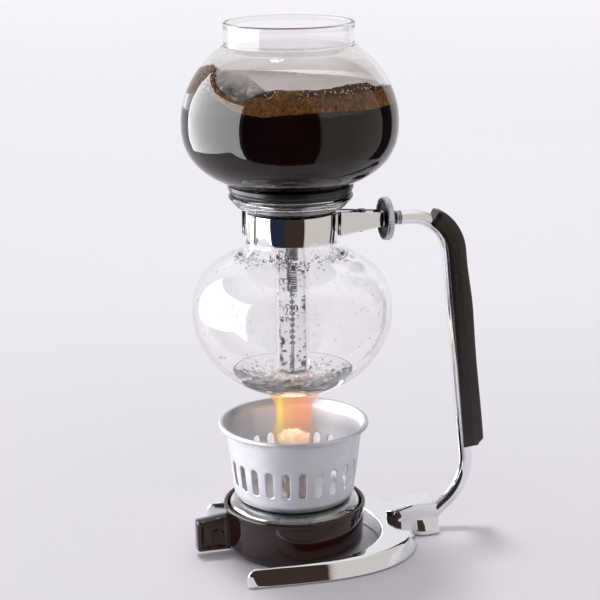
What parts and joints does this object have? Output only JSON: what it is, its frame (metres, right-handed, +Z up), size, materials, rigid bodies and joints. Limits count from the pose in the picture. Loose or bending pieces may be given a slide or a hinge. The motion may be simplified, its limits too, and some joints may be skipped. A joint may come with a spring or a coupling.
{
  "type": "siphon coffee maker",
  "caption": "Vacuum coffee maker: two glass bulbs one above the other in a chromed stand with a side handle, heated by a spirit lamp under a slotted wind shield.",
  "frame": {"origin": "on the table under the common axis of the two glass bulbs, which is also the middle of the lamp's flat underside", "axes": "+Z up along the bulbs' axis, +X from the bulbs towards the handle, +Y to the back"},
  "size_m": [0.1613, 0.11, 0.28],
  "materials": {
    "bowl_glass": "clear heat-resistant glass, glossy",
    "flask_glass": "clear heat-resistant glass, glossy",
    "lamp_glass": "clear glass, glossy",
    "gasket_rubber": "moulded black rubber, satin",
    "filter_steel": "stainless steel",
    "filter_cloth": "brushed cotton flannel",
    "spring_steel": "stainless steel wire",
    "base_chrome": "chrome-plated die casting, mirror",
    "feet_rubber": "matt",
    "pipe_chrome": "chrome-plated steel pipe, mirror",
    "screw_steel": "turned steel",
    "grip_plastic": "dark brown, satin",
    "jaw_steel": "polished stainless strip",
    "wheel_chrome": "chrome-plated, knurled",
    "wheel_plastic": "black",
    "lamp_plastic": "dark brown, glossy",
    "seal_rubber": "soft washer",
    "holder_aluminium": "satin",
    "wick_cotton": "braided cotton",
    "shield_aluminium": "satin anodised"
  },
  "bodies": {
    "stand": {"base_casting": "base_chrome", "base_feet": "feet_rubber", "stand_pipe": "pipe_chrome", "pipe_grub_screw": "screw_steel", "handle_grip": "grip_plastic", "clamp_rod": "screw_steel", "pipe_end_collar": "screw_steel", "clamp_hinge_pin": "screw_steel", "lower_flask": "flask_glass"},
    "spreader": {"clamp_cone": "screw_steel"},
    "wheel": {"thumb_wheel_rim": "wheel_chrome", "thumb_wheel_core": "wheel_plastic"},
    "jaw_front": {"clamp_jaw_front": "jaw_steel"},
    "jaw_back": {"clamp_jaw_back": "jaw_steel"},
    "bowl": {"upper_bowl": "bowl_glass", "stem_gasket": "gasket_rubber", "filter_plate": "filter_steel", "filter_cloth": "filter_cloth", "filter_retainer": "filter_steel", "filter_screw": "filter_steel", "filter_spring": "spring_steel"},
    "chain": {"bead_chain": "spring_steel", "chain_hook": "spring_steel"},
    "lamp": {"lamp_cup": "lamp_plastic", "lamp_reservoir": "lamp_glass", "neck_seal": "seal_rubber", "wick_holder": "holder_aluminium"},
    "wick": {"wick": "wick_cotton"},
    "shield": {"wind_shield": "shield_aluminium"}
  },
  "joints": [
    {"name": "bowl_lift", "type": "slide", "parent": "stand", "child": "bowl", "axis": [0, 0, 1], "range_m": [0, 0.13]},
    {"name": "chain_pull", "type": "slide", "parent": "bowl", "child": "chain", "axis": [0, 0, -1], "range_m": [0, 0.0045], "stiffness_N_per_m": 60, "springref_m": -0.004, "deforming": ["filter_spring"]},
    {"name": "cone_travel", "type": "slide", "parent": "stand", "child": "spreader", "axis": [1, 0, 0], "range_m": [0, 0.0031]},
    {"name": "wheel_turn", "type": "hinge", "parent": "spreader", "child": "wheel", "pos_m": [0.0506, 0, 0.1762], "axis": [1, 0, 0], "range_deg": [0, 1080]},
    {"name": "jaw_front_open", "type": "hinge", "parent": "stand", "child": "jaw_front", "pos_m": [0.0375, 0, 0.1762], "axis": [0, 0, 1], "range_deg": [0, 5.6]},
    {"name": "jaw_back_open", "type": "hinge", "parent": "stand", "child": "jaw_back", "pos_m": [0.0375, 0, 0.1762], "axis": [0, 0, -1], "range_deg": [0, 5.6]},
    {"name": "lamp_slide", "type": "slide", "parent": "stand", "child": "lamp", "axis": [-1, 0, 0], "range_m": [0, 0.12]},
    {"name": "shield_lift", "type": "slide", "parent": "lamp", "child": "shield", "axis": [0, 0, 1], "range_m": [0, 0.024]},
    {"name": "wick_raise", "type": "slide", "parent": "lamp", "child": "wick", "axis": [0, 0, 1], "range_m": [0, 0.006]}
  ],
  "couplings": [
    {"joint": "cone_travel", "follows": "wheel_turn", "m_per_rad": 0.00015915},
    {"joint": "jaw_front_open", "follows": "wheel_turn", "ratio": 0.0050926},
    {"joint": "jaw_back_open", "follows": "wheel_turn", "ratio": 0.0050926}
  ]
}
